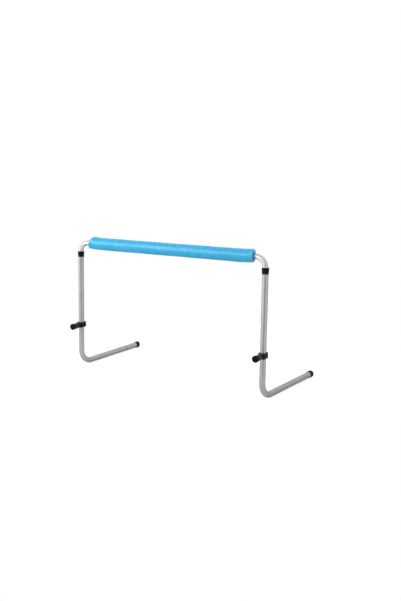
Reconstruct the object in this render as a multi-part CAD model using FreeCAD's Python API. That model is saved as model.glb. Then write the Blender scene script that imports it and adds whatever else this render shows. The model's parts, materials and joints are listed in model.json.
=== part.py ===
import FreeCAD, Part
import math
import os

# Speed hurdle: a padded inverted-U crossbar whose stems telescope in two L-shaped legs.
# X runs along the crossbar, the feet point to +Y, the lock knobs to -Y, the floor is Z = 0.
# Millimetres and degrees.

# Overall
leg_spacing = 970.0
bar_height = 570.0
foot_reach = 412.5
lean_angle = 2.5
left_clamp_height = 192.3
right_clamp_height = 183.6
clamp_droop = 4.8

# Tubes
leg_od = 25.0
leg_wall = 1.5
leg_bend_radius = 58.0
bar_wall = 1.0
bar_bend_radius = 44.0
tube_play = 0.3
stem_end_gap = 8.0

# Foam sleeve
foam_wall = 15.75
foam_play = 0.3
foam_left_gap = 18.5
foam_right_gap = 7.0
foam_left_edge = 6.0
foam_right_edge = 3.5
foam_left_slant = 22.0
foam_right_slant = 12.0
foam_mouth_play = 4.8
foam_mouth_depth = 14.0

# Collar
collar_height = 25.5
collar_top_wall = 2.2
collar_bottom_wall = 0.9
collar_lip = 10.0
collar_mouth_depth = 4.0
collar_mouth_play = 0.8
collar_edge = 1.0

# Foot cap
cap_wall = 2.0
cap_length = 21.0
cap_end = 3.5
cap_edge = 2.2
cap_rim_edge = 0.8
cap_flat_depth = 0.5

# Stem plug
plug_flange = 8.0
plug_insert = 16.0
plug_edge = 1.5

# Clamp body
clamp_wall = 2.0
clamp_end_wall = 5.8
clamp_tall = 23.8
clamp_corner = 6.0
clamp_edge = 1.2
boss_wall = 3.2
cheek_recess_width = 20.0
cheek_recess_tall = 14.0
cheek_recess_depth = 0.6

# Lock screw, nut and pad
screw_od = 8.0
hex_across = 13.0
nut_thickness = 6.5
head_thickness = 5.3
pad_thickness = 4.5
pad_play = 0.6
pad_travel = 2.5
tip_od = 5.5
tip_length = 2.0

# Knob
knob_gap = 1.0
knob_od = 27.0
knob_neck_od = 24.8
knob_length = 33.2
knob_cap_step = 0.5
knob_cap_length = 8.5
knob_cap_wall = 1.8
knob_cap_end = 2.0
knob_dish_depth = 0.7
knob_rim = 2.2
knob_edge = 1.0
head_pocket = 10.5

# Fits, radial unless a face is named
fixed_fit = 0.05
running_fit = 0.08
hex_fit = 0.1
hole_play = 0.3
stop_gap = 0.3

# Worked out from the sizes above
leg_r = leg_od / 2
leg_bore_r = leg_r - leg_wall
bar_r = leg_bore_r - tube_play
bar_bore_r = bar_r - bar_wall
foam_bore_r = bar_r + foam_play
foam_r = foam_bore_r + foam_wall
socket_r = leg_r + fixed_fit
cap_r = socket_r + cap_wall
half_spacing = leg_spacing / 2
foam_left = foam_left_gap + bar_bend_radius - half_spacing
foam_right = half_spacing - bar_bend_radius - foam_right_gap
lean = math.radians(lean_angle)

# The foot climbs a little, so that the bend and the flat of the cap both touch the floor.
bend_tangent = leg_bend_radius * math.tan(math.radians(90 + lean_angle) / 2)
foot_rise = cap_r - cap_flat_depth - leg_r
foot_slope = math.asin(foot_rise / (foot_reach - cap_length / 2 - bend_tangent))
corner_z = leg_r - bend_tangent * math.sin(foot_slope)

# Places along the upright, measured from the corner where leg axis and foot axis meet
bar_place = (bar_height - corner_z) / math.cos(lean)
collar_mouth = bar_place - bar_bend_radius - stop_gap
collar_top = collar_mouth + collar_mouth_depth
collar_bottom = collar_top - collar_height
leg_top = collar_top - collar_lip
stem_end = bend_tangent + stem_end_gap + plug_flange
left_clamp_place = (left_clamp_height - corner_z) / math.cos(lean)
right_clamp_place = (right_clamp_height - corner_z) / math.cos(lean)

# Places along the lock screw, measured forward from the leg axis
pad_r = hex_across / 2 + hex_fit - pad_play
pad_back = bar_r + stop_gap + pad_thickness
nut_face = pad_back + pad_travel + stop_gap
nut_front = nut_face + nut_thickness
boss_reach = nut_front + boss_wall
knob_r = knob_od / 2
knob_neck_r = knob_neck_od / 2
knob_cap_r = knob_r + knob_cap_step
knob_near = boss_reach + knob_gap
knob_reach = knob_near + knob_length
knob_step = knob_reach - knob_cap_length
knob_end = knob_reach - knob_cap_end
head_seat = knob_end - head_pocket

X_AXIS = FreeCAD.Vector(1, 0, 0)
Y_AXIS = FreeCAD.Vector(0, 1, 0)
Z_AXIS = FreeCAD.Vector(0, 0, 1)
ORIGIN = FreeCAD.Vector(0, 0, 0)
SAME = 1e-4


def vec(x, y, z):
    return FreeCAD.Vector(x, y, z)


def cylinder(radius, start, end):
    """Round bar between two points."""
    along = end - start
    return Part.makeCylinder(radius, along.Length, start, along)


def front_cylinder(radius, near, far):
    """Round bar on the lock screw's axis, from one distance before the leg axis to another."""
    return cylinder(radius, vec(0, -near, 0), vec(0, -far, 0))


def front_hexagon(across, near, far):
    """Hexagonal bar on the lock screw's axis."""
    reach = across / math.sqrt(3)
    corners = []
    for step in range(7):
        turn = math.radians(60 * step)
        corners.append(vec(reach * math.cos(turn), -near, reach * math.sin(turn)))
    face = Part.Face(Part.makePolygon(corners))
    return face.extrude(vec(0, near - far, 0))


def tube_along(path, radius, wall):
    """Hollow tube along a wire that starts with a straight edge."""
    start = path.Edges[0].valueAt(path.Edges[0].FirstParameter)
    along = path.Edges[0].tangentAt(path.Edges[0].FirstParameter)

    def swept(r):
        ring = Part.Wire([Part.makeCircle(r, start, along)])
        return path.makePipeShell([ring], True, False)

    return swept(radius).cut(swept(radius - wall))


def bend(before, corner, after, radius):
    """Arc edge of one radius in the corner between two straight runs, with its two ends."""
    to_before = (before - corner).normalize()
    to_after = (after - corner).normalize()
    half = to_before.getAngle(to_after) / 2
    tangent = radius / math.tan(half)
    start = corner + to_before * tangent
    end = corner + to_after * tangent
    middle_way = (to_before + to_after).normalize()
    middle = corner + middle_way * (radius / math.sin(half) - radius)
    return Part.Arc(start, middle, end).toShape(), start, end


def revolved(points, axis):
    """Ring from a closed half section in the XZ or YZ plane about an axis through the origin."""
    face = Part.Face(Part.makePolygon(points + points[:1]))
    return face.revolve(ORIGIN, axis, 360)


def edges_on_circle(shape, radius, place, axis):
    """Circular edges of one radius at one place along an axis."""
    found = []
    for edge in shape.Edges:
        curve = edge.Curve
        if isinstance(curve, Part.Circle) and abs(curve.Radius - radius) < SAME:
            if abs(curve.Center.dot(axis) - place) < SAME:
                found.append(edge)
    return found


def crossbar_tube():
    """Inverted U: two stems, two bends and the straight run under the foam."""
    foot_left = vec(-half_spacing, 0, stem_end)
    top_left = vec(-half_spacing, 0, bar_place)
    top_right = vec(half_spacing, 0, bar_place)
    foot_right = vec(half_spacing, 0, stem_end)
    left_arc, left_start, left_end = bend(foot_left, top_left, top_right, bar_bend_radius)
    right_arc, right_start, right_end = bend(top_left, top_right, foot_right, bar_bend_radius)
    path = Part.Wire([
        Part.makeLine(foot_left, left_start),
        left_arc,
        Part.makeLine(left_end, right_start),
        right_arc,
        Part.makeLine(right_end, foot_right),
    ])
    return tube_along(path, bar_r, bar_wall)


def beyond_end(end, outward, axis, slant):
    """Block that takes off all beyond a foam end, its face turned about an axis from square."""
    block = Part.makeBox(4 * foam_r, 8 * foam_r, 8 * foam_r, vec(0, -4 * foam_r, -4 * foam_r))
    facing = FreeCAD.Rotation(X_AXIS, outward)
    block.Placement = FreeCAD.Placement(end, FreeCAD.Rotation(axis, slant).multiply(facing))
    return block


def foam_sleeve():
    """Foam tube with slanted, rounded ends and open mouths."""
    left = vec(foam_left, 0, bar_place)
    right = vec(foam_right, 0, bar_place)
    past_left = left - X_AXIS * foam_r
    past_right = right + X_AXIS * foam_r
    body = cylinder(foam_r, past_left, past_right)
    body = body.cut(beyond_end(left, -X_AXIS, Y_AXIS, foam_left_slant))
    body = body.cut(beyond_end(right, X_AXIS, Z_AXIS, foam_right_slant))
    rims = [e for e in body.Edges if isinstance(e.Curve, Part.Ellipse)]
    body = body.makeFillet(foam_left_edge, [e for e in rims if e.CenterOfMass.x < 0])
    rims = [e for e in body.Edges if isinstance(e.Curve, Part.Ellipse)]
    body = body.makeFillet(foam_right_edge, [e for e in rims if e.CenterOfMass.x > 0])
    body = body.cut(cylinder(foam_bore_r, past_left, past_right))
    mouth_r = bar_r + foam_mouth_play
    for end, past, outward in ((left, past_left, -X_AXIS), (right, past_right, X_AXIS)):
        mouth_start = end - outward * foam_mouth_depth
        mouth = Part.makeCone(foam_bore_r, mouth_r, foam_mouth_depth, mouth_start, outward)
        body = body.cut(mouth).cut(cylinder(mouth_r, end, past))
    return body


def stem_plug():
    """Plug in the stem's lower end, its flange a running fit in the leg."""
    flange_r = leg_bore_r - running_fit
    flange = cylinder(flange_r, vec(0, 0, stem_end - plug_flange), vec(0, 0, stem_end))
    flange = flange.makeChamfer(plug_edge, edges_on_circle(flange, flange_r, stem_end - plug_flange, Z_AXIS))
    insert = cylinder(bar_bore_r - fixed_fit, vec(0, 0, stem_end), vec(0, 0, stem_end + plug_insert))
    return flange.fuse(insert).removeSplitter()


def collar():
    """Tapered ring over the leg's top end: a lip guides the stem, a flared mouth clears the bend."""
    leg_socket_r = leg_r + running_fit
    top_r = leg_socket_r + collar_top_wall
    bottom_r = leg_socket_r + collar_bottom_wall
    lip_r = bar_r + running_fit
    ring = revolved([
        vec(leg_socket_r, 0, collar_bottom),
        vec(bottom_r, 0, collar_bottom),
        vec(top_r, 0, collar_top),
        vec(lip_r + collar_mouth_play, 0, collar_top),
        vec(lip_r, 0, collar_mouth),
        vec(lip_r, 0, leg_top),
        vec(leg_socket_r, 0, leg_top),
    ], Z_AXIS)
    return ring.makeFillet(collar_edge, edges_on_circle(ring, top_r, collar_top, Z_AXIS))


def foot_frame():
    """Placement that takes +Z onto the foot axis, from the corner towards the cap."""
    direction = vec(0, math.cos(foot_slope), math.sin(foot_slope))
    return FreeCAD.Placement(ORIGIN, FreeCAD.Rotation(Z_AXIS, direction))


def upright_frame():
    """Placement that leans the upright back over the feet."""
    return FreeCAD.Placement(ORIGIN, FreeCAD.Rotation(X_AXIS, -lean_angle))


def clamp_frame(clamp_place):
    """Placement that takes the screw's axis to its place on the upright and droops it to the front."""
    return FreeCAD.Placement(vec(0, 0, clamp_place), FreeCAD.Rotation(X_AXIS, clamp_droop))


def leg_in_clamp(radius, half_length):
    """Round bar on the leg's axis, as it stands in the drooping clamp."""
    along = FreeCAD.Rotation(X_AXIS, -clamp_droop).multVec(Z_AXIS)
    return cylinder(radius, along * -half_length, along * half_length)


def leg_tube(clamp_place):
    """Upright, bend and foot in one tube, with the pad's hole in its front wall."""
    top = upright_frame().multVec(vec(0, 0, leg_top))
    toe = foot_frame().multVec(vec(0, 0, foot_reach - cap_end))
    arc, start, end = bend(top, ORIGIN, toe, leg_bend_radius)
    path = Part.Wire([Part.makeLine(top, start), arc, Part.makeLine(end, toe)])
    hole = in_clamp(front_cylinder(pad_r + hole_play, 0, leg_od), clamp_place)
    return tube_along(path, leg_r, leg_wall).cut(hole)


def foot_cap():
    """Rubber cap over the foot's end, with the flat that it stands on."""
    inner = foot_reach - cap_length
    cap = cylinder(cap_r, vec(0, 0, inner), vec(0, 0, foot_reach))
    cap = cap.makeFillet(cap_edge, edges_on_circle(cap, cap_r, foot_reach, Z_AXIS))
    cap = cap.makeFillet(cap_rim_edge, edges_on_circle(cap, cap_r, inner, Z_AXIS))
    cap = cap.cut(cylinder(socket_r, vec(0, 0, inner), vec(0, 0, foot_reach - cap_end)))
    cap.Placement = foot_frame()
    corner = vec(-2 * cap_r, inner - cap_length / 2, -corner_z - 2 * cap_r)
    return cap.cut(Part.makeBox(4 * cap_r, 2 * cap_length, 2 * cap_r, corner))


def clamp_body():
    """Moulded block round the upright: boss, nut pocket, screw hole and a recess in each cheek."""
    half = socket_r + clamp_wall
    reach = socket_r + clamp_end_wall
    block = Part.makeBox(2 * half, 2 * reach, clamp_tall, vec(-half, -reach, -clamp_tall / 2))
    corners = [e for e in block.Edges if e.BoundBox.ZLength > clamp_tall / 2]
    block = block.makeFillet(clamp_corner, corners)
    rims = [e for e in block.Edges if e.BoundBox.ZLength < clamp_edge]
    block = block.makeFillet(clamp_edge, rims)
    body = block.fuse(front_cylinder(knob_neck_r, leg_r, boss_reach)).removeSplitter()
    body = body.makeFillet(clamp_edge, edges_on_circle(body, knob_neck_r, -boss_reach, Y_AXIS))
    nut_pocket = front_hexagon(hex_across + 2 * hex_fit, 0, nut_front)
    screw_hole = front_cylinder(screw_od / 2 + hole_play, 0, boss_reach)
    body = body.cut(leg_in_clamp(socket_r, clamp_tall)).cut(nut_pocket).cut(screw_hole)
    for side in (-1, 1):
        recess = Part.makeBox(2 * cheek_recess_depth, cheek_recess_width, cheek_recess_tall)
        recess.translate(vec(
            side * half - cheek_recess_depth,
            -cheek_recess_width / 2,
            -cheek_recess_tall / 2,
        ))
        body = body.cut(recess)
    return body


def clamp_nut():
    """Hexagon nut against the front wall of its pocket."""
    nut = front_hexagon(hex_across, nut_face, nut_front)
    return nut.cut(front_cylinder(screw_od / 2 + fixed_fit, nut_face, nut_front))


def pressure_pad():
    """Round pad, hollowed to the stem, with a socket for the screw's tip."""
    pad = front_cylinder(pad_r, 0, pad_back)
    socket = front_cylinder(tip_od / 2 + running_fit, pad_back - tip_length - running_fit, pad_back)
    return pad.cut(leg_in_clamp(bar_r + stop_gap, 2 * pad_r)).cut(socket)


def lock_screw():
    """Screw with a turned-down tip in the pad and a hexagon head in the knob."""
    tip = front_cylinder(tip_od / 2, pad_back - tip_length, pad_back + running_fit)
    shank = front_cylinder(screw_od / 2, pad_back + running_fit, head_seat)
    head = front_hexagon(hex_across, head_seat, head_seat + head_thickness)
    return tip.fuse(shank).fuse(head).removeSplitter()


def lock_knob():
    """Tapered round grip, with a hexagon pocket for the head and a spigot for its cap."""
    grip = Part.makeCone(knob_neck_r, knob_r, knob_step - knob_near, vec(0, -knob_near, 0), -Y_AXIS)
    grip = grip.makeFillet(knob_edge, edges_on_circle(grip, knob_neck_r, -knob_near, Y_AXIS))
    spigot_r = knob_cap_r - knob_cap_wall - fixed_fit
    knob = grip.fuse(front_cylinder(spigot_r, knob_step, knob_end)).removeSplitter()
    pocket = front_hexagon(hex_across + 2 * hex_fit, head_seat, knob_end)
    return knob.cut(front_cylinder(screw_od / 2 + fixed_fit, knob_near, head_seat)).cut(pocket)


def knob_cap():
    """Cap over the knob's end, its face dished inside a rim."""
    cap = front_cylinder(knob_cap_r, knob_step, knob_reach)
    cap = cap.makeFillet(knob_edge, edges_on_circle(cap, knob_cap_r, -knob_reach, Y_AXIS))
    cap = cap.cut(front_cylinder(knob_cap_r - knob_cap_wall, knob_step, knob_end))
    dish = front_cylinder(knob_cap_r - knob_rim, knob_reach - knob_dish_depth, knob_reach)
    return cap.cut(dish)


def upright(shape):
    """Lean a piece that was built on a vertical upright."""
    leaned = shape.copy()
    leaned.Placement = upright_frame().multiply(leaned.Placement)
    return leaned


def in_clamp(shape, clamp_place):
    """Take a piece that was built on the screw's axis to its place on the leaning upright."""
    placed = shape.copy()
    placed.Placement = clamp_frame(clamp_place).multiply(placed.Placement)
    return upright(placed)


def side_pieces(clamp_place):
    """One side's pieces, in the frame of the corner where leg axis and foot axis meet."""
    return {
        "stem_plug": upright(stem_plug()),
        "collar": upright(collar()),
        "leg_tube": leg_tube(clamp_place),
        "foot_cap": foot_cap(),
        "clamp_body": in_clamp(clamp_body(), clamp_place),
        "clamp_nut": in_clamp(clamp_nut(), clamp_place),
        "pressure_pad": in_clamp(pressure_pad(), clamp_place),
        "lock_screw": in_clamp(lock_screw(), clamp_place),
        "lock_knob": in_clamp(lock_knob(), clamp_place),
        "knob_cap": in_clamp(knob_cap(), clamp_place),
    }


middle_pieces = {"crossbar_tube": upright(crossbar_tube()), "foam_sleeve": upright(foam_sleeve())}
left_pieces = side_pieces(left_clamp_place)
right_pieces = side_pieces(right_clamp_place)

# The origin is on the floor, halfway between the foremost knob's face and the ends of the feet.
front = min(pieces["knob_cap"].optimalBoundingBox(False).YMin for pieces in (left_pieces, right_pieces))
back = left_pieces["foot_cap"].optimalBoundingBox(False).YMax
corner_y = -(front + back) / 2

os.makedirs("parts", exist_ok=True)


def write_piece(name, shape, x):
    """Move a piece from its corner to its place and write it."""
    placed = shape.copy()
    placed.translate(vec(x, corner_y, corner_z))
    placed.exportStep(os.path.join("parts", name + ".step"))


for name, shape in middle_pieces.items():
    write_piece(name, shape, 0)
for side, x, pieces in (("left", -half_spacing, left_pieces), ("right", half_spacing, right_pieces)):
    for name, shape in pieces.items():
        write_piece(side + "_" + name, shape, x)

print("corner y %.3f z %.3f, bend tangent %.2f" % (corner_y, corner_z, bend_tangent))
print("bar place %.2f, collar top %.2f" % (bar_place, collar_top))
print("clamp places %.2f and %.2f" % (left_clamp_place, right_clamp_place))
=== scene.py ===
import json
import math

import bpy
import numpy as np
from mathutils import Matrix, Vector


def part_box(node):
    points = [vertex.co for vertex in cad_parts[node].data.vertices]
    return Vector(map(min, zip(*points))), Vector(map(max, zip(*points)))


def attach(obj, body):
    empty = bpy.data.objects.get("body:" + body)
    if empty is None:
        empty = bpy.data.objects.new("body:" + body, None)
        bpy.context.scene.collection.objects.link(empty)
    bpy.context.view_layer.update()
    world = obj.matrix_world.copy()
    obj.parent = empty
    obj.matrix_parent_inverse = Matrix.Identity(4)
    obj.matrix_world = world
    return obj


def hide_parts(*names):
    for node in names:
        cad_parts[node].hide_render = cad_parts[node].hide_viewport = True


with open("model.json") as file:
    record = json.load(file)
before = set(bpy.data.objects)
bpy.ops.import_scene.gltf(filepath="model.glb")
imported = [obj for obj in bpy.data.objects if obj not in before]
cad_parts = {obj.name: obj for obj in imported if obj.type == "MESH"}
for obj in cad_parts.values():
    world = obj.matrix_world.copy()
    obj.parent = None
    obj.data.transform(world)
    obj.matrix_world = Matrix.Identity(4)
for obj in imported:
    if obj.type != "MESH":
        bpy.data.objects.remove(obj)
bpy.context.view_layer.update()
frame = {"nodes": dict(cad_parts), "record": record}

# Foam sleeve, metres
FOAM_LEFT_END = -0.4208
FOAM_RIGHT_END = 0.4320
FOAM_LEFT_EDGE = 0.010
FOAM_RIGHT_EDGE = 0.0035
FOAM_LEFT_SLANT = math.radians(22)
FOAM_LEFT_CROWN = 0.003
FOAM_RIGHT_SLANT = math.radians(12)
FOAM_SLANT_REACH = 0.09
FOAM_MOUTH_RADIUS = 0.0138
FOAM_MOUTH_DEPTH = 0.008
FOAM_BORE_RADIUS = 0.0110
FOAM_LEFT_LIFT = 0.0036
FOAM_RIGHT_LIFT = 0.0026
FOAM_LIFT_REACH = 0.072
FOAM_LIFT_POWER = 1.6
FOAM_RIM_REACH = 0.005
FOAM_SWELL = 0.0009
FOAM_WAVE = 0.0002

# Waves of the foam's skin: radians per metre of bar, waves round the bar, start and share of the height
FOAM_WAVES = ((31, 2, 0.0, 1.0), (57, -3, 1.1, 0.7), (113, 1, 2.3, 0.5))

# Grid of the foam sleeve
FOAM_ROUND_STEPS = 128
FOAM_RUN_STEPS = 420
FOAM_EDGE_STEPS = 12
FOAM_CUT_STEPS = 3
FOAM_MOUTH_STEPS = 7
FOAM_BORE_STEPS = 24

# Foam colours, each from the middle of a cell to its wall: painted shade in the blotches' hollows,
# painted light on their crests, and the cut rim's tone, paler partly from wear and partly as a painted
# highlight
FOAM_PAINTED_SHADE = ((0.014, 0.46, 0.80), (0.007, 0.38, 0.70))
FOAM_PAINTED_LIGHT = ((0.030, 0.53, 0.86), (0.015, 0.46, 0.80))
FOAM_CUT_AND_HIGHLIGHT = ((0.22, 0.62, 0.84), (0.14, 0.52, 0.74))

# Patterns of the foam: marks per metre, and depths in metres
FOAM_BLOTCHES = 62.0
FOAM_BLOTCH_DEPTH = 0.0016
# Blotch levels over which the painted shade turns to painted light
FOAM_PAINTED_LIGHT_RANGE = (0.34, 0.68)
FOAM_CELLS = 190.0
FOAM_CELL_DEPTH = 0.0006
FOAM_CELL_STRENGTH = 0.7
FOAM_PITS = 900.0
FOAM_PIT_DEPTH = 0.0001

# Gloss of the foam, and its roughness and the paleness of its cut edges, partly wear and partly a painted
# highlight, which go with the blotches
FOAM_SHINE = 0.6
FOAM_ROUGH = (0.46, 0.33)
FOAM_CUT_RANGE = (0.25, 0.6)
FOAM_CUT_SHARE = (0.35, 0.7)

# Part of its range that a noise mostly fills
NOISE_RANGE = (0.3, 0.7)

# Patterns of the tubes: marks per metre, depth in metres, and the heights where the foot's bend lies
DRAW_MARKS_ACROSS = 900.0
DRAW_MARKS_ALONG = 7.0
DRAW_MARK_DEPTH = 0.00004
HANDLING_MARKS = 16.0
HANDLING_RANGE = (0.35, 0.75)
HANDLING_DULL = 0.03
FOOT_BEND_LOW = 0.03
FOOT_BEND_HIGH = 0.06

# Wear of the mouldings and a painted highlight on their edges: marks per metre, reach in metres, and the
# openness of a fully worn and highlit edge and a flat face
SCUFFS = 210.0
SCUFF_RANGE = (0.56, 0.74)
SCUFF_SHARE = 0.08
EDGE_PATCHES = 330.0
EDGE_PATCH_RANGE = (0.3, 0.6)
EDGE_PATCH_LEAST = 0.3
EDGE_REACH = 0.0011
EDGE_SAMPLES = 16
EDGE_WORN_AND_HIGHLIT = 0.84
EDGE_FLAT = 0.99
GLOSS_CLOUDS = 95.0

# Camera, fitted to the tube corners, collars, clamps and foot ends
VIEW_AZIMUTH = math.radians(37.237)
VIEW_ELEVATION = math.radians(10.889)
VIEW_ROLL = math.radians(-0.952)
VIEW_DISTANCE = 3.4644
VIEW_TARGET = Vector((0.0365, -0.1787, 0.3584))
FOCAL_PIXELS = 824.8
FRAME_WIDTH = 401
FRAME_HEIGHT = 601
AXIS_PIXEL = 170.0
SENSOR = 36.0

# Floor, metres, its grey, and how clear it is to the camera and to mirrored rays
FLOOR_DROP = 0.0005
FLOOR_CENTRE = (0.0, 0.05)
FLOOR_RADIUS = 1.05
FLOOR_STEPS = 128
FLOOR_GREY = 0.62
FLOOR_SEEN = 0.65
FLOOR_MIRRORED = 0.05

# Studio: levels by share of a turn, from the side away from the camera, which stands at a half
WALLS = (
    (0.0, 1.0), (0.04, 1.0), (0.11, 0.56), (0.22, 0.8), (0.36, 0.76),
    (0.44, 0.5), (0.49, 0.1), (0.52, 0.15), (0.56, 0.6), (0.62, 0.74),
    (0.72, 0.6), (0.80, 0.36), (0.90, 0.56), (0.94, 1.0), (1.0, 1.0),
)
CEILING = (
    (0.0, 0.66), (0.25, 0.55), (0.36, 0.77), (0.56, 0.77), (0.68, 0.55), (0.8, 0.66), (1.0, 0.66),
)

# Upward part of a direction where the ceiling starts and is full, and the shares of plain white
CEILING_START = 0.2
CEILING_FULL = 0.5
BACKDROP_SEEN = 1.0
BACKDROP_MIRRORED = 0.1

# Lamps: watts, metres and bearings
LAMP_TARGET = Vector((0, 0, 0.35))
LAMP_DISTANCE = 3.0
KEY_POWER = 42.0
KEY_SIZE = 1.5
KEY_AZIMUTH = math.radians(-38)
KEY_ELEVATION = math.radians(24)
FILL_POWER = 13.0
FILL_SIZE = 2.0
FILL_AZIMUTH = math.radians(97)
FILL_ELEVATION = math.radians(27)


class Graph:
    """Node tree of one material or world, with short calls to add and join nodes."""

    def __init__(self, owner):
        owner.use_nodes = True
        self.tree = owner.node_tree
        self.tree.nodes.clear()

    def add(self, kind, **settings):
        node = self.tree.nodes.new(kind)
        for key, value in settings.items():
            setattr(node, key, value)
        return node

    def join(self, out, into):
        self.tree.links.new(out, into)

    def noise(self, vector, scale, detail=3.0, roughness=0.5):
        node = self.add("ShaderNodeTexNoise")
        node.inputs["Scale"].default_value = scale
        node.inputs["Detail"].default_value = detail
        node.inputs["Roughness"].default_value = roughness
        self.join(vector, node.inputs["Vector"])
        return node.outputs["Fac"]

    def stretched(self, vector, scale):
        node = self.add("ShaderNodeMapping")
        node.inputs["Scale"].default_value = scale
        self.join(vector, node.inputs["Vector"])
        return node.outputs["Vector"]

    def remap(self, value, low, high, to_low, to_high):
        """A value between two limits, eased to the range between two others."""
        node = self.add("ShaderNodeMapRange", interpolation_type="SMOOTHSTEP")
        limits = {"From Min": low, "From Max": high, "To Min": to_low, "To Max": to_high}
        for key, number in limits.items():
            node.inputs[key].default_value = number
        self.join(value, node.inputs["Value"])
        return node.outputs["Result"]

    def math(self, operation, first, second):
        node = self.add("ShaderNodeMath", operation=operation)
        for slot, value in enumerate((first, second)):
            if isinstance(value, (int, float)):
                node.inputs[slot].default_value = value
            else:
                self.join(value, node.inputs[slot])
        return node.outputs["Value"]

    def colours(self, value, low, high):
        """Colour along a value from 0 to 1."""
        node = self.add("ShaderNodeValToRGB")
        node.color_ramp.elements[0].color = (*low, 1)
        node.color_ramp.elements[1].color = (*high, 1)
        self.join(value, node.inputs["Fac"])
        return node.outputs["Color"]

    def levels(self, value, stops):
        """Grey levels along a value, eased from stop to stop."""
        node = self.add("ShaderNodeValToRGB")
        node.color_ramp.interpolation = "EASE"
        while len(node.color_ramp.elements) < len(stops):
            node.color_ramp.elements.new(0.5)
        for element, (place, level) in zip(node.color_ramp.elements, stops):
            element.position = place
            element.color = (level, level, level, 1)
        self.join(value, node.inputs["Fac"])
        return node.outputs["Color"]

    def blend(self, factor, first, second):
        node = self.add("ShaderNodeMix", data_type="RGBA")
        self.join(factor, node.inputs["Factor"])
        self.join(first, node.inputs["A"])
        self.join(second, node.inputs["B"])
        return node.outputs["Result"]

    def white_share(self, seen, mirrored):
        """Share of plain white for rays from the camera, and for rays that metal or glass sends on."""
        rays = self.add("ShaderNodeLightPath").outputs
        sent_on = self.math("MAXIMUM", rays["Is Glossy Ray"], rays["Is Transmission Ray"])
        from_camera = self.math("MULTIPLY", rays["Is Camera Ray"], seen)
        return self.math("ADD", from_camera, self.math("MULTIPLY", sent_on, mirrored))

    def edges(self, reach):
        """1 on convex edges, 0 on flat and hollow faces, from how close the corner's far side is."""
        node = self.add("ShaderNodeAmbientOcclusion", inside=True, only_local=True, samples=EDGE_SAMPLES)
        node.inputs["Distance"].default_value = reach
        return self.remap(node.outputs["AO"], EDGE_WORN_AND_HIGHLIT, EDGE_FLAT, 1.0, 0.0)

    def bump(self, height, distance, strength=1.0, under=None):
        node = self.add("ShaderNodeBump")
        node.inputs["Strength"].default_value = strength
        node.inputs["Distance"].default_value = distance
        self.join(height, node.inputs["Height"])
        if under is not None:
            self.join(under, node.inputs["Normal"])
        return node.outputs["Normal"]


def surface(name, **constants):
    """A material with its shader, output and Object coordinates.

    The constants go on the shader's own sockets.
    """
    material = bpy.data.materials.new(name)
    graph = Graph(material)
    shader = graph.add("ShaderNodeBsdfPrincipled")
    output = graph.add("ShaderNodeOutputMaterial")
    graph.join(shader.outputs["BSDF"], output.inputs["Surface"])
    for socket, value in constants.items():
        shader.inputs[socket.replace("_", " ")].default_value = value
    place = graph.add("ShaderNodeTexCoord").outputs["Object"]
    return material, graph, shader.inputs, place


def drawn_tube(name, dull, bright, rough, edge):
    """Drawn metal tube: fine draw marks, which turn with the foot's bend, and faint handling marks.

    The edge is the share of the gloss that is left at a glancing angle.
    """
    material, graph, sockets, place = surface(name, Metallic=1.0, Specular_Tint=(edge, edge, edge, 1))
    upright = graph.stretched(place, (DRAW_MARKS_ACROSS, DRAW_MARKS_ACROSS, DRAW_MARKS_ALONG))
    level = graph.stretched(place, (DRAW_MARKS_ACROSS, DRAW_MARKS_ALONG, DRAW_MARKS_ACROSS))
    split = graph.add("ShaderNodeSeparateXYZ")
    graph.join(place, split.inputs["Vector"])
    turned = graph.add("ShaderNodeMix", data_type="FLOAT")
    low = graph.remap(split.outputs["Z"], FOOT_BEND_LOW, FOOT_BEND_HIGH, 1.0, 0.0)
    graph.join(low, turned.inputs["Factor"])
    graph.join(graph.noise(upright, 1.0, detail=2.0), turned.inputs["A"])
    graph.join(graph.noise(level, 1.0, detail=2.0), turned.inputs["B"])
    marks = turned.outputs["Result"]
    cloud = graph.noise(place, HANDLING_MARKS)
    tone = graph.colours(graph.remap(cloud, *NOISE_RANGE, 0.0, 1.0), dull, bright)
    graph.join(tone, sockets["Base Color"])
    drawn = graph.remap(marks, *NOISE_RANGE, *rough)
    handled = graph.remap(cloud, *HANDLING_RANGE, 0.0, HANDLING_DULL)
    graph.join(graph.math("ADD", drawn, handled), sockets["Roughness"])
    graph.join(graph.bump(marks, DRAW_MARK_DEPTH), sockets["Normal"])
    return material


def moulding(name, shade, worn_and_highlit, rough, grain, grain_depth, **constants):
    """Moulded plastic or rubber: fine grain, uneven gloss, light scuffs, and paler, patchy edges, partly
    wear and partly a painted highlight.
    """
    material, graph, sockets, place = surface(name, **constants)
    scratches = graph.noise(place, SCUFFS, detail=6.0, roughness=0.65)
    scuff = graph.remap(scratches, *SCUFF_RANGE, 0.0, SCUFF_SHARE)
    patches = graph.noise(place, EDGE_PATCHES, detail=4.0, roughness=0.6)
    patch = graph.remap(patches, *EDGE_PATCH_RANGE, EDGE_PATCH_LEAST, 1.0)
    # Paler edges: partly wear, partly a painted highlight
    wear_and_edge_highlight = graph.math("MAXIMUM", scuff, graph.math("MULTIPLY", graph.edges(EDGE_REACH), patch))
    graph.join(graph.colours(wear_and_edge_highlight, shade, worn_and_highlit), sockets["Base Color"])
    cloud = graph.noise(place, GLOSS_CLOUDS)
    graph.join(graph.remap(cloud, *NOISE_RANGE, *rough), sockets["Roughness"])
    graph.join(graph.bump(graph.noise(place, grain, detail=2.0), grain_depth), sockets["Normal"])
    return material


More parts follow.
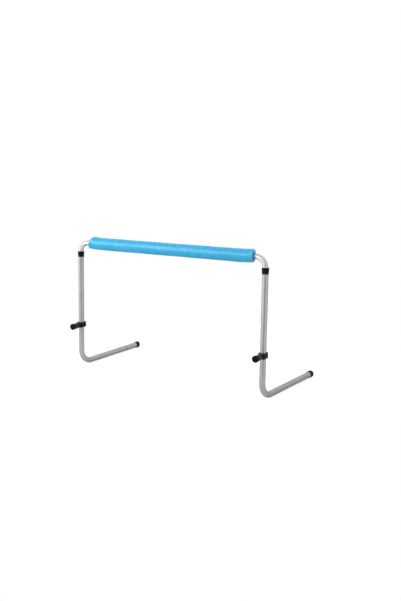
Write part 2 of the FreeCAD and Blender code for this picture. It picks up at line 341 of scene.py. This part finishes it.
def closed_cell_foam(name):
    """Sky-blue foam: blotchy cells in the skin, painted light on the blotches' crests and painted shade
    in their hollows, cut rims paler partly from wear and partly as a painted highlight, and small pits.
    """
    material, graph, sockets, place = surface(name, Specular_IOR_Level=FOAM_SHINE)
    blotch = graph.noise(place, FOAM_BLOTCHES, detail=4.0, roughness=0.6)
    cells = graph.add("ShaderNodeTexVoronoi", feature="SMOOTH_F1")
    cells.inputs["Scale"].default_value = FOAM_CELLS
    graph.join(place, cells.inputs["Vector"])
    cell = cells.outputs["Distance"]
    # Painted light and shade: paler on the blotches' crests, darker in their hollows, following the
    # blotch bump
    painted_light_share = graph.remap(blotch, *FOAM_PAINTED_LIGHT_RANGE, 0.0, 1.0)
    skin = graph.blend(painted_light_share, graph.colours(cell, *FOAM_PAINTED_SHADE), graph.colours(cell, *FOAM_PAINTED_LIGHT))
    rim = graph.add("ShaderNodeAttribute", attribute_name="rim").outputs["Fac"]
    # The cut rim is paler, partly wear of the cut cells and partly a painted highlight along the rim
    worn_and_highlit = graph.math("MULTIPLY", rim, graph.remap(blotch, *FOAM_CUT_RANGE, *FOAM_CUT_SHARE))
    graph.join(graph.blend(worn_and_highlit, skin, graph.colours(cell, *FOAM_CUT_AND_HIGHLIGHT)), sockets["Base Color"])
    graph.join(graph.remap(blotch, *NOISE_RANGE, *FOAM_ROUGH), sockets["Roughness"])
    normal = graph.bump(blotch, FOAM_BLOTCH_DEPTH)
    normal = graph.bump(cell, FOAM_CELL_DEPTH, FOAM_CELL_STRENGTH, under=normal)
    pits = graph.noise(place, FOAM_PITS, detail=2.0)
    graph.join(graph.bump(pits, FOAM_PIT_DEPTH, under=normal), sockets["Normal"])
    return material


# Finishes of the CAD pieces, by material slot; the knobs' end caps have their own
# The worn colour goes on scuffs and on the edges, which are partly wear and partly a painted highlight
finishes = {
    "leg_steel": drawn_tube(
        "satin_leg_steel", dull=(0.60, 0.602, 0.60), bright=(0.67, 0.67, 0.665), rough=(0.24, 0.34),
        edge=0.5),
    "bar_aluminium": drawn_tube(
        "bright_bar_aluminium", dull=(0.80, 0.80, 0.795), bright=(0.86, 0.86, 0.855), rough=(0.28, 0.36),
        edge=0.1),
    "zinc_steel": drawn_tube(
        "plated_screw", dull=(0.55, 0.55, 0.53), bright=(0.66, 0.66, 0.63), rough=(0.28, 0.40),
        edge=0.5),
    "black_plastic": moulding(
        "black_moulding", shade=(0.0035, 0.0035, 0.004), worn_and_highlit=(0.11, 0.11, 0.11), rough=(0.34, 0.48),
        grain=1500.0, grain_depth=0.00006, Specular_IOR_Level=0.16),
    "gloss_black": moulding(
        "glossy_grip", shade=(0.004, 0.004, 0.0045), worn_and_highlit=(0.035, 0.035, 0.035), rough=(0.20, 0.30),
        grain=700.0, grain_depth=0.00002, Specular_IOR_Level=0.45),
    "black_rubber": moulding(
        "rubber_cap", shade=(0.006, 0.006, 0.006), worn_and_highlit=(0.035, 0.035, 0.034), rough=(0.55, 0.72),
        grain=1100.0, grain_depth=0.0001, Specular_IOR_Level=0.2),
    "plug_plastic": moulding(
        "grey_plug", shade=(0.20, 0.20, 0.21), worn_and_highlit=(0.32, 0.32, 0.33), rough=(0.45, 0.6),
        grain=1300.0, grain_depth=0.00006),
}
end_cap_finish = moulding(
    "matt_end_cap", shade=(0.0025, 0.0025, 0.003), worn_and_highlit=(0.04, 0.04, 0.04), rough=(0.45, 0.6),
    grain=1500.0, grain_depth=0.00006, Specular_IOR_Level=0.1)

for part in frame["record"]["subparts"]:
    finish = finishes.get(part["material_slot"])
    if part["node"].endswith("_knob_cap"):
        finish = end_cap_finish
    if finish is not None:
        mesh = frame["nodes"][part["node"]].data
        mesh.materials.clear()
        mesh.materials.append(finish)


def turned_mesh(name, points):
    """Object from a grid of points that closes on itself both ways, its faces pointing outwards."""
    rows, columns = points.shape[:2]
    index = np.arange(rows * columns).reshape(rows, columns)
    next_row = np.roll(index, -1, axis=0)
    next_column = np.roll(index, -1, axis=1)
    corner = np.roll(next_row, -1, axis=1)
    faces = np.stack([index, next_row, corner, next_column], axis=-1).reshape(-1, 4)
    mesh = bpy.data.meshes.new(name)
    mesh.from_pydata(points.reshape(-1, 3).tolist(), [], faces.tolist())
    mesh.polygons.foreach_set("use_smooth", np.ones(len(mesh.polygons), bool))
    mesh.update()
    piece = bpy.data.objects.new(name, mesh)
    bpy.context.scene.collection.objects.link(piece)
    return piece


def foam_sleeve():
    """Sleeve swept round the bar.

    A closed profile of distance along the bar and radius (mouth, cut, rounded edge, skin, edge, cut,
    mouth, bore) is turned round the bar's axis. Each end is sheared by the tangent of its slant, the left
    one with height, the right one with depth, fading over a reach, and the left one is crowned by the
    square of the height. The skin swells to the left, gets a low wave, a sum of sines of place and angle,
    and lifts at both ends by a power of the distance from the end. The attribute rim is a bell curve of
    the distance from the nearer edge, for the cut rim's paler tone, partly wear and partly a painted
    highlight.
    """
    low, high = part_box("foam_sleeve")
    axis_y, axis_z = (low.y + high.y) / 2, (low.z + high.z) / 2
    radius = (high.z - low.z) / 2
    left, right = FOAM_LEFT_END, FOAM_RIGHT_END
    left_rim, right_rim = radius - FOAM_LEFT_EDGE, radius - FOAM_RIGHT_EDGE
    quarter = np.linspace(0, np.pi / 2, FOAM_EDGE_STEPS)
    lip = np.linspace(0, 1, FOAM_MOUTH_STEPS)
    along = np.concatenate([
        left + FOAM_MOUTH_DEPTH * (1 - lip[1:]),
        np.full(FOAM_CUT_STEPS, left),
        left + FOAM_LEFT_EDGE * (1 - np.cos(quarter)),
        np.linspace(left + FOAM_LEFT_EDGE, right - FOAM_RIGHT_EDGE, FOAM_RUN_STEPS)[1:-1],
        right - FOAM_RIGHT_EDGE * (1 - np.sin(quarter)),
        np.full(FOAM_CUT_STEPS, right),
        right - FOAM_MOUTH_DEPTH * lip[:-1],
        np.linspace(right - FOAM_MOUTH_DEPTH, left + FOAM_MOUTH_DEPTH, FOAM_BORE_STEPS),
    ])
    out = np.concatenate([
        FOAM_BORE_RADIUS + (FOAM_MOUTH_RADIUS - FOAM_BORE_RADIUS) * lip[1:],
        np.linspace(FOAM_MOUTH_RADIUS, left_rim, FOAM_CUT_STEPS + 2)[1:-1],
        left_rim + FOAM_LEFT_EDGE * np.sin(quarter),
        np.full(FOAM_RUN_STEPS - 2, radius),
        right_rim + FOAM_RIGHT_EDGE * np.cos(quarter),
        np.linspace(right_rim, FOAM_MOUTH_RADIUS, FOAM_CUT_STEPS + 2)[1:-1],
        FOAM_MOUTH_RADIUS + (FOAM_BORE_RADIUS - FOAM_MOUTH_RADIUS) * lip[:-1],
        np.full(FOAM_BORE_STEPS, FOAM_BORE_RADIUS),
    ])
    turn = np.linspace(0, 2 * np.pi, FOAM_ROUND_STEPS, endpoint=False)
    x, angle = np.meshgrid(along, turn, indexing="ij")
    r = np.repeat(out[:, None], FOAM_ROUND_STEPS, axis=1)
    skin = np.clip((r - FOAM_MOUTH_RADIUS) / (left_rim - FOAM_MOUTH_RADIUS), 0, 1)
    wave = sum(share * np.sin(run * x + rounds * angle + start)
               for run, rounds, start, share in FOAM_WAVES)
    swell = FOAM_SWELL * np.clip(1 - 2 * (x - left) / (right - left), 0, 1)
    r = r + skin * (FOAM_WAVE * wave + swell)
    y, z = r * np.cos(angle), r * np.sin(angle)
    left_lift = FOAM_LEFT_LIFT * np.clip(1 - (x - left) / FOAM_LIFT_REACH, 0, 1) ** FOAM_LIFT_POWER
    right_lift = FOAM_RIGHT_LIFT * np.clip(1 - (right - x) / FOAM_LIFT_REACH, 0, 1) ** FOAM_LIFT_POWER
    lift = skin * (left_lift + right_lift)
    left_fade = np.clip(1 - (x - left) / FOAM_SLANT_REACH, 0, 1) ** 2
    right_fade = np.clip(1 - (right - x) / FOAM_SLANT_REACH, 0, 1) ** 2
    x = x + left_fade * (math.tan(FOAM_LEFT_SLANT) * z + FOAM_LEFT_CROWN * (z / radius) ** 2)
    x = x - right_fade * math.tan(FOAM_RIGHT_SLANT) * y
    piece = turned_mesh("foam_padding", np.stack([x, axis_y + y, axis_z + z + lift], axis=-1))
    from_left = np.hypot(along - left, out - left_rim - FOAM_LEFT_EDGE)
    from_right = np.hypot(along - right, out - right_rim - FOAM_RIGHT_EDGE)
    # Where the cut rim gets its paler tone, partly wear and partly a painted highlight
    rim = np.exp(-(np.minimum(from_left, from_right) / FOAM_RIM_REACH) ** 2)
    cut = piece.data.attributes.new("rim", "FLOAT", "POINT")
    cut.data.foreach_set("value", np.repeat(rim, FOAM_ROUND_STEPS))
    return piece


foam = foam_sleeve()
foam.data.materials.append(closed_cell_foam("sky_blue_foam"))
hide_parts("foam_sleeve")
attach(foam, "crossbar")


def pale_floor():
    """Pale round floor, partly clear to the camera.

    Shadows stay faint on it, and a foot that is lowered below it still shows.
    """
    mesh = bpy.data.meshes.new("floor")
    turn = np.linspace(0, 2 * np.pi, FLOOR_STEPS, endpoint=False)
    rim = np.stack([
        FLOOR_CENTRE[0] + FLOOR_RADIUS * np.cos(turn),
        FLOOR_CENTRE[1] + FLOOR_RADIUS * np.sin(turn),
        np.full(FLOOR_STEPS, -FLOOR_DROP),
    ], axis=-1)
    mesh.from_pydata(rim.tolist(), [], [tuple(range(FLOOR_STEPS))])
    floor = bpy.data.objects.new("floor", mesh)
    bpy.context.scene.collection.objects.link(floor)
    material = bpy.data.materials.new("pale_floor")
    graph = Graph(material)
    output = graph.add("ShaderNodeOutputMaterial")
    bounce = graph.add("ShaderNodeBsdfDiffuse")
    bounce.inputs["Color"].default_value = (FLOOR_GREY, FLOOR_GREY, FLOOR_GREY, 1)
    clear = graph.add("ShaderNodeBsdfTransparent")
    graph.join(graph.white_share(FLOOR_SEEN, FLOOR_MIRRORED), clear.inputs["Color"])
    both = graph.add("ShaderNodeAddShader")
    graph.join(bounce.outputs[0], both.inputs[0])
    graph.join(clear.outputs[0], both.inputs[1])
    graph.join(both.outputs[0], output.inputs["Surface"])
    mesh.materials.append(material)


def studio_world():
    """White backdrop and soft boxes, dark behind the camera, which itself sees plain white.

    The ceiling is brightest on the camera's side, and darkest to the left and right of that.
    """
    world = bpy.data.worlds.new("studio")
    bpy.context.scene.world = world
    graph = Graph(world)
    turn = graph.add("ShaderNodeMapping", vector_type="POINT")
    turn.inputs["Rotation"].default_value = (0, 0, math.pi / 2 - VIEW_AZIMUTH)
    graph.join(graph.add("ShaderNodeTexCoord").outputs["Generated"], turn.inputs["Vector"])
    split = graph.add("ShaderNodeSeparateXYZ")
    graph.join(turn.outputs["Vector"], split.inputs["Vector"])
    heading = graph.math("ARCTAN2", split.outputs["Y"], split.outputs["X"])
    share = graph.math("ADD", graph.math("DIVIDE", heading, 2 * math.pi), 0.5)
    overhead = graph.remap(split.outputs["Z"], CEILING_START, CEILING_FULL, 0.0, 1.0)
    light = graph.blend(overhead, graph.levels(share, WALLS), graph.levels(share, CEILING))
    backdrop = graph.add("ShaderNodeMix", data_type="RGBA")
    backdrop.inputs["B"].default_value = (1, 1, 1, 1)
    graph.join(graph.white_share(BACKDROP_SEEN, BACKDROP_MIRRORED), backdrop.inputs["Factor"])
    graph.join(light, backdrop.inputs["A"])
    shown = graph.add("ShaderNodeBackground")
    graph.join(backdrop.outputs["Result"], shown.inputs["Color"])
    output = graph.add("ShaderNodeOutputWorld")
    graph.join(shown.outputs[0], output.inputs["Surface"])


def aimed(place, target, roll=0.0):
    """Matrix of a camera or lamp at a place that looks at a target, rolled about its line of sight."""
    back = (place - target).normalized()
    side = Vector((0, 0, 1)).cross(back).normalized()
    up = back.cross(side)
    right = side * math.cos(roll) + up * math.sin(roll)
    over = up * math.cos(roll) - side * math.sin(roll)
    matrix = Matrix((right, over, back)).transposed().to_4x4()
    matrix.translation = place
    return matrix


def bearing(azimuth, elevation):
    """Unit vector from the object towards a viewer, azimuth 0 in front of the knobs."""
    return Vector((
        math.sin(azimuth) * math.cos(elevation),
        -math.cos(azimuth) * math.cos(elevation),
        math.sin(elevation),
    ))


def soft_lamp(name, power, size, azimuth, elevation, mirrored):
    """Square soft box aimed at the middle of the hurdle; metal shows it only if it is mirrored."""
    lamp_data = bpy.data.lights.new(name, "AREA")
    lamp_data.energy = power
    lamp_data.size = size
    lamp = bpy.data.objects.new(name, lamp_data)
    lamp.visible_glossy = mirrored
    bpy.context.scene.collection.objects.link(lamp)
    place = LAMP_TARGET + bearing(azimuth, elevation) * LAMP_DISTANCE
    lamp.matrix_world = aimed(place, LAMP_TARGET)


def photo_camera():
    """Camera at the photograph's viewing angle, its axis shifted to the side in the frame."""
    camera_data = bpy.data.cameras.new("camera")
    camera_data.sensor_fit = "VERTICAL"
    camera_data.sensor_height = SENSOR
    camera_data.lens = FOCAL_PIXELS * SENSOR / FRAME_HEIGHT
    camera_data.shift_x = (FRAME_WIDTH / 2 - AXIS_PIXEL) / FRAME_HEIGHT
    camera = bpy.data.objects.new("camera", camera_data)
    bpy.context.scene.collection.objects.link(camera)
    eye = VIEW_TARGET + bearing(VIEW_AZIMUTH, VIEW_ELEVATION) * VIEW_DISTANCE
    camera.matrix_world = aimed(eye, VIEW_TARGET, VIEW_ROLL)
    bpy.context.scene.camera = camera


pale_floor()
studio_world()
soft_lamp("key", KEY_POWER, KEY_SIZE, KEY_AZIMUTH, KEY_ELEVATION, True)
soft_lamp("fill", FILL_POWER, FILL_SIZE, FILL_AZIMUTH, FILL_ELEVATION, False)
photo_camera()
bpy.context.scene.view_settings.view_transform = "Standard"
